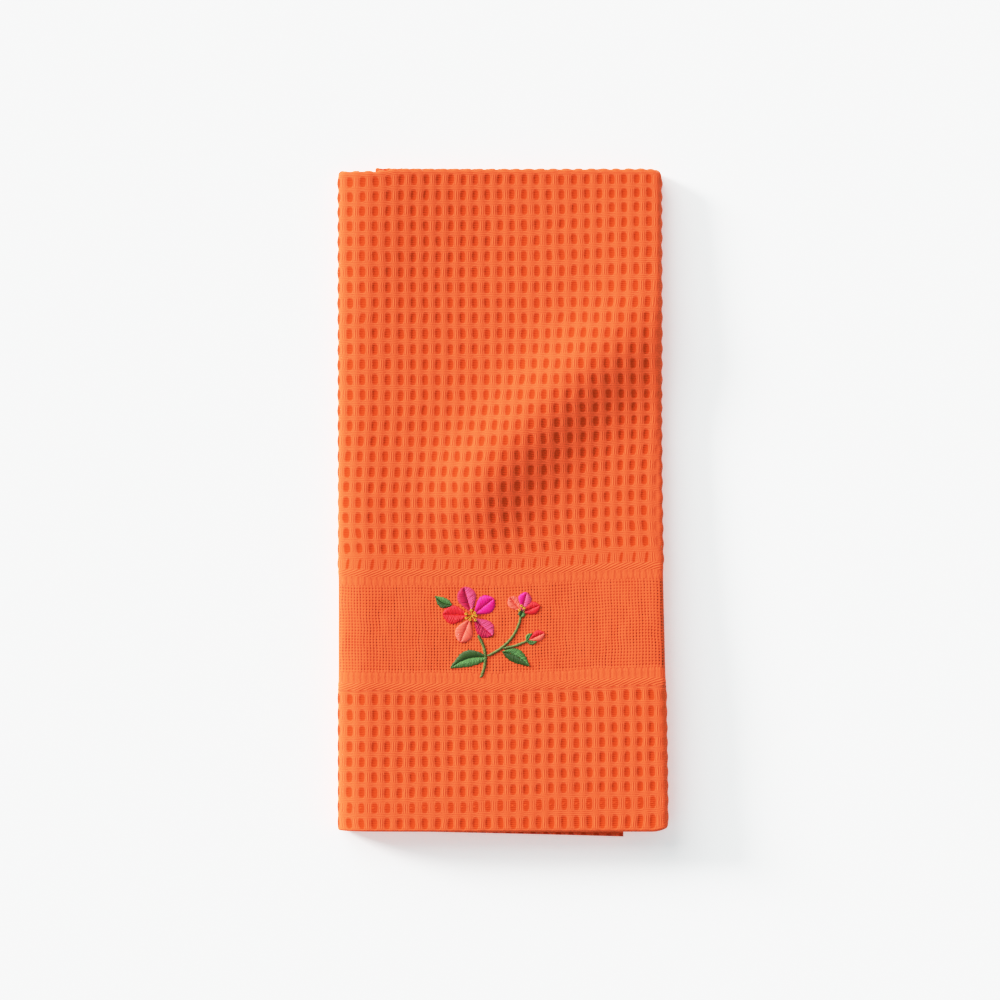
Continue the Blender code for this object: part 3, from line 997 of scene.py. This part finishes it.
def build_sprig():
    """The flower sprig on the band, one piece for each thread colour."""
    spools = {name: Threads() for name in THREADS}
    number = 0
    for stem in STEMS:
        stem_stitches(spools["olive"], stem, number)
        number += 100
    for shape in SATINS:
        satin_half(spools[shape.left], shape, 1.0, number)
        satin_half(spools[shape.right], shape, -1.0, number + 100)
        number += 200
    for cluster in CLUSTERS:
        knots(spools["gold"], cluster)
    return [
        spool.build("sprig_" + name, thread_material("thread_" + name, THREADS[name], SILKY))
        for name, spool in spools.items()
    ]


def build_hem_stitches():
    """Running stitches that hold the end hem of the front layer."""
    threads = Threads()
    x = LEFT_AXIS_X
    while x + HEM_STITCH < RIGHT_AXIS_X:
        number = round(x / HEM_STITCH)
        along_x = x + HEM_STITCH * np.array(HEM_STEPS)
        y = HEM_SEAM_Y + row_climb(along_x, HEM_SEAM_Y) + STITCH_JITTER * float(scatter(number, 3.0, 14))
        path = on_front(along_x, y, np.array(HEM_LIFTS) * HEM_THREAD, RIB_DEPTH / 2)
        threads.add(path, HEM_THREAD, HEM_THREAD * HEM_FLATNESS)
        x += HEM_STITCH + HEM_STITCH_GAP
    return threads.build("hem_stitches", thread_material("hem_thread", HEM_THREAD_COLOUR, MATT))


# Materials

class Shading:
    """A short way to write node trees."""

    def __init__(self, name):
        self.material = bpy.data.materials.new(name)
        self.material.use_nodes = True
        self.tree = self.material.node_tree
        self.shader = self.tree.nodes["Principled BSDF"]

    def node(self, kind, **settings):
        made = self.tree.nodes.new("ShaderNode" + kind)
        for name, value in settings.items():
            setattr(made, name, value)
        return made

    def link(self, value, socket):
        if isinstance(value, bpy.types.NodeSocket):
            self.tree.links.new(value, socket)
        else:
            socket.default_value = value

    def feed(self, node, **values):
        """Link or set a node's inputs by name, with _ for a space."""
        for name, value in values.items():
            self.link(value, node.inputs[name.replace("_", " ")])
        return node

    def math(self, operation, first, second=None, third=None):
        made = self.node("Math", operation=operation)
        for socket, value in zip(made.inputs, (first, second, third)):
            if value is not None:
                self.link(value, socket)
        return made.outputs[0]

    def product(self, first, *others):
        for other in others:
            first = self.math('MULTIPLY', first, other)
        return first

    def total(self, first, second):
        return self.math('ADD', first, second)

    def plus(self, base, value, weight):
        return self.math('MULTIPLY_ADD', value, weight, base)

    def stack(self, base, *parts):
        """Height and shade of a base with parts of the weave added, each times its value."""
        height, shade = base
        for value, part in parts:
            height, shade = self.plus(height, value, part.height), self.plus(shade, value, part.shade)
        return height, shade

    def varied(self, noise, share):
        """1 on average, higher or lower by up to half the share."""
        return self.plus(1.0 - share / 2, noise, share)

    def ramp(self, value, low, high):
        """Soft step of a value, 0 at low and 1 at high."""
        made = self.node("MapRange", interpolation_type='SMOOTHSTEP')
        for socket, number in zip(made.inputs, (value, low, high, 0.0, 1.0)):
            self.link(number, socket)
        return made.outputs[0]

    def between(self, value, low, high, edge):
        risen, fallen = self.ramp(value, low - edge, low + edge), self.ramp(value, high + edge, high - edge)
        return self.product(risen, fallen)

    def line(self, value, middle, width):
        """1 where the value is at middle, down to 0 a width away."""
        return self.ramp(self.math('ABSOLUTE', self.math('SUBTRACT', value, middle)), width, 0.0)

    def from_whole(self, value):
        """Distance of a value from the nearest whole number."""
        return self.math('ABSOLUTE', self.from_half(self.math('ADD', value, 0.5)))

    def from_half(self, value):
        """Place of a value between two whole numbers, from their middle."""
        return self.math('SUBTRACT', self.math('FRACT', value), 0.5)

    def mix(self, share, first, second, kind="Float", **settings):
        made = self.node("Mix", **settings)
        for name, value in (("Factor_Float", share), ("A_" + kind, first), ("B_" + kind, second)):
            self.link(value, next(s for s in made.inputs if s.identifier == name))
        return next(s for s in made.outputs if s.identifier == "Result_" + kind)

    def mix_colour(self, share, first, second, blend='MIX'):
        return self.mix(share, first, second, "Color", data_type='RGBA', blend_type=blend)

    def noise(self, vector, scale, detail=2.0):
        return self.feed(self.node("TexNoise"), Vector=vector, Scale=scale, Detail=detail).outputs

    def wave(self, value, turns, shift=0.0):
        """From 1 to 0 and back, so many times a unit, with 1 at the shift."""
        angle = self.plus(2.0 * math.pi * shift, value, 2.0 * math.pi * turns)
        return self.plus(0.5, self.math('COSINE', angle), 0.5)

    def darken(self, colour, shade):
        """A colour times a grey."""
        return self.mix_colour(1.0, colour, shade, 'MULTIPLY')

    def bump(self, height, distance):
        return self.feed(self.node("Bump"), Distance=distance, Height=height).outputs[0]

    def set(self, **values):
        self.feed(self.shader, **values)


def waffle_look(s, across, along, cells_left):
    """Height, painted shade and highlights, and pockets of the waffle, with threads on its ridges and ribs.
    """
    half_row = s.between(along, row_at(HALF_ROW_TOP_Y), row_at(UPPER_TWILL_Y), HALF_ROW_BLUR)
    down = s.from_half(along)
    aside = s.total(s.from_half(across), s.product(down, half_row, HALF_ROW_LEAN))
    wide = s.math('ABSOLUTE', s.math('DIVIDE', aside, s.mix(half_row, LOOK_HALF_U, LOOK_HALF_ROW_U)))
    tall = s.math('ABSOLUTE', s.math('DIVIDE', down, LOOK_HALF_V))
    cubes = s.total(s.product(wide, wide, wide), s.product(tall, tall, tall))
    away = s.math('POWER', cubes, 1.0 / 3.0)
    # At the bend of the right fold the pockets, with their painted shade, are mostly left off, so the
    # fold's edge is painted lighter
    bend = s.line(across, (RIGHT_AXIS_X + BEND_AT - RIDGE_X) / CELL_U, BEND_WIDTH)
    pocket = s.product(s.ramp(away, *LOOK_WALL), s.plus(1.0, bend, -BEND_PAINTED_SHADE_CUT), cells_left)
    rim = s.product(s.line(away, RIM_AT, RIM_WIDTH), cells_left)

    from_ridge = s.from_whole(across)
    middle = s.ramp(s.from_whole(along), *MIDDLE_STEP)
    ridge = s.ramp(from_ridge, *RIDGE_STEP)
    slit = s.product(s.ramp(from_ridge, SLIT_WIDTH, 0.0), middle)
    floats = s.wave(from_ridge, 1.0 / THREAD_PITCH, 0.5)
    threads = s.mix(s.product(ridge, middle), s.wave(along, WEFT_LINES), floats)
    height, shade = s.stack(WAFFLE, (threads, FLOATS), (rim, RIMS), (slit, SLITS))
    # Painted shade in each pocket, deepest at its top under the rib
    pocket_painted_shade = s.plus(POCKET_PAINTED_SHADE, s.ramp(down, *POCKET_TOP_STEP), POCKET_TOP_PAINTED_SHADE)
    return height, s.plus(shade, s.product(pocket, pocket_painted_shade), -1.0), pocket


def plain_look(s, across, along):
    """Height and shade of the plain weave: holes between the yarns, and lengthwise streaks."""
    across = s.plus(U_ORIGIN / YARN_U, across, CELL_U / YARN_U)
    along = s.product(s.math('SUBTRACT', along, row_at(PLAIN_TOP_Y)), CELL_V / YARN_V)
    beside, above = s.wave(across, 1.0), s.wave(along, 1.0)
    stretched = s.node("CombineXYZ")
    for value, scale, socket in zip((across, along), STREAK_SCALES, stretched.inputs):
        s.link(s.product(value, scale), socket)
    streaks = s.noise(stretched.outputs[0], 1.0)[0]
    gap = s.product(beside, beside, s.ramp(streaks, *STREAK_STEP))
    hole = s.product(beside, beside, above, above)
    return s.stack(PLAIN, (hole, HOLES), (gap, GAPS), (above, DIPS))


def float_look(s, across, place_):
    """Height and shade of the short floats beside it, in bundles between creases."""
    stray = s.noise(place_, BUNDLE_SCALE)[0]
    crease = s.wave(s.plus(across, stray, BUNDLE_STRAY), BUNDLES)
    crease = s.product(crease, crease, crease)
    return s.stack(SHORT_FLOATS, (s.wave(across, FLOAT_LINES), FINE_LINES), (crease, CREASES))


def band_look(s, across, along, place_):
    """Height and shade of the band, with its slanting twill ribs."""
    plain_height, plain_shade = plain_look(s, across, along)
    float_height, float_shade = float_look(s, across, place_)
    phase = s.product(along, -math.cos(TWILL_ANGLE) * CELL_V / TWILL_PITCH)
    phase = s.plus(phase, across, -math.sin(TWILL_ANGLE) * CELL_U / TWILL_PITCH)
    slant = s.wave(phase, 1.0)
    twill_base, twill_share = TWILL_SHADE

    twill = s.total(s.between(along, row_at(UPPER_TWILL_Y), row_at(UPPER_FLOATS_Y), ZONE_BLUR),
                    s.between(along, row_at(LOWER_TWILL_Y), row_at(BAND_END_Y), ZONE_BLUR))
    plain = s.between(along, row_at(PLAIN_TOP_Y), row_at(LOWER_FLOATS_Y), ZONE_BLUR)
    height = s.mix(twill, s.mix(plain, float_height, plain_height), slant)
    shade = s.mix(twill, s.mix(plain, float_shade, plain_shade), s.plus(twill_base, slant, twill_share))
    return height, shade


def cloth_material():
    """Orange cotton: yarn by yarn in height and colour, with painted shade in the pockets and painted
    highlights and shade on the weave, and a soft nap.
    """
    s = Shading("orange_waffle_cotton")
    place_ = s.node("TexCoord").outputs["Object"]
    split = s.node("SeparateXYZ")
    s.link(s.node("UVMap", uv_map="weave").outputs[0], split.inputs[0])
    wobble = s.node("SeparateColor")
    s.link(s.noise(place_, WOBBLE_SCALE)["Color"], wobble.inputs[0])
    stray_u = s.product(s.math('SUBTRACT', wobble.outputs[0], 0.5), WEAVE_WOBBLE)
    stray_v = s.product(s.math('SUBTRACT', wobble.outputs[1], 0.5), WEAVE_WOBBLE)
    across, along = s.total(split.outputs[0], stray_u), s.total(split.outputs[1], stray_v)
    fibres = s.noise(place_, FIBRE_SCALE, FIBRE_DETAIL)[0]
    mottle = s.noise(place_, MOTTLE_SCALE)[0]

    in_band = s.between(along, row_at(UPPER_TWILL_Y), row_at(BAND_END_Y), ZONE_BLUR)
    cells_left = s.math('SUBTRACT', 1.0, in_band)
    waffle_height, waffle_shade, pocket = waffle_look(s, across, along, cells_left)
    band_height, band_shade = band_look(s, across, along, place_)
    height = s.plus(s.mix(in_band, waffle_height, band_height), fibres, FIBRE_HEIGHT)
    shade = s.mix(in_band, waffle_shade, band_shade)
    shade = s.product(shade, s.varied(mottle, MOTTLE_SHARE), s.varied(fibres, MOTTLE_SHARE))

    # The pockets take their colour with painted shade, and the weave's painted shade and highlights, with
    # its random mottle, darken or lighten the orange
    colour = s.darken(s.mix_colour(pocket, RIDGE_COLOUR, PAINTED_POCKET_SHADE_COLOUR), shade)
    s.set(Base_Color=colour, Roughness=CLOTH_ROUGHNESS, Normal=s.bump(height, YARN_BUMP))
    nap = s.product(s.plus(1.0, pocket, -POCKET_NAP_LOSS), SHEEN_WEIGHT)
    s.set(Sheen_Weight=nap, Sheen_Tint=SHEEN_TINT, Specular_IOR_Level=CLOTH_GLOSS)
    return s.material


def thread_material(name, colour, finish):
    """Thread, a little lighter and darker strand by strand."""
    s = Shading(name)
    place_ = s.node("TexCoord").outputs["Object"]
    strands = s.noise(place_, STRAND_SCALE, FIBRE_DETAIL)[0]
    patches = s.noise(place_, PATCH_SCALE)[0]
    shade = s.product(s.varied(strands, STRAND_SHARE), s.varied(patches, PATCH_SHARE))
    s.set(Base_Color=s.darken(colour, shade), Normal=s.bump(strands, STRAND_BUMP))
    s.set(Roughness=finish.roughness, Specular_IOR_Level=finish.gloss)
    return s.material


# Surroundings

def build_floor():
    work = bmesh.new()
    bmesh.ops.create_grid(work, x_segments=2, y_segments=2, size=FLOOR_HALF)
    floor = new_object("floor", [], [])
    work.to_mesh(floor.data)
    work.free()
    floor.location.z = -FLOOR_GAP
    s = Shading("pale_floor")
    s.set(Base_Color=FLOOR_COLOUR, Roughness=1.0, Specular_IOR_Level=0.0)
    s.set(Emission_Color=GLOW_COLOUR, Emission_Strength=FLOOR_GLOW)
    floor.data.materials.append(s.material)
    floor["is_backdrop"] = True


def build_light():
    world = bpy.data.worlds.new("soft_room")
    bpy.context.scene.world = world
    world.use_nodes = True
    background = world.node_tree.nodes["Background"]
    background.inputs["Color"].default_value = ROOM_COLOUR
    background.inputs["Strength"].default_value = ROOM_STRENGTH
    for name, strength, spread, azimuth, elevation in LIGHTS:
        light = bpy.data.lights.new(name, 'SUN')
        light.energy = strength
        light.angle = math.radians(spread)
        light.color = LIGHT_COLOUR
        lamp = bpy.data.objects.new(name, light)
        azimuth, elevation = math.radians(azimuth), math.radians(elevation)
        across = math.cos(elevation)
        towards = Vector((math.cos(azimuth) * across, math.sin(azimuth) * across, math.sin(elevation)))
        lamp.rotation_euler = towards.to_track_quat('Z', 'Y').to_euler()
        bpy.context.scene.collection.objects.link(lamp)


def build_camera():
    data = bpy.data.cameras.new("overhead")
    data.sensor_width = SENSOR
    data.lens = SENSOR * CAMERA_DISTANCE / FRAME_WIDTH
    camera = bpy.data.objects.new("overhead", data)
    camera.location = (*FRAME_CENTRE, CAMERA_DISTANCE + FRAME_LEVEL)
    bpy.context.scene.collection.objects.link(camera)
    bpy.context.scene.camera = camera


def set_tone():
    """Roll the highlights off, so that bright orange keeps its shading."""
    view = bpy.context.scene.view_settings
    view.view_transform = 'Standard'
    view.use_curve_mapping = True
    mapping = view.curve_mapping
    mapping.clip_max_x = TONE_POINTS[-1][0]
    curve = mapping.curves[3]
    curve.points[0].location = TONE_POINTS[0]
    curve.points[1].location = TONE_POINTS[-1]
    for point in TONE_POINTS[1:-1]:
        curve.points.new(*point)
    mapping.update()


def write_sizes():
    {"cad": plain_list(CAD_BOX), "visual": plain_list(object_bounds())}


def plain_list(value):
    if hasattr(value, "__len__"):
        return [plain_list(item) for item in value]
    return float(value)


def main():
    cloth = build_cloth()
    cloth.data.materials.append(cloth_material())
    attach(cloth, BODY)
    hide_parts(NODE)
    stitches = build_sprig() + [build_hem_stitches()]
    build_floor()
    build_light()
    build_camera()
    set_tone()
    write_sizes()


main()
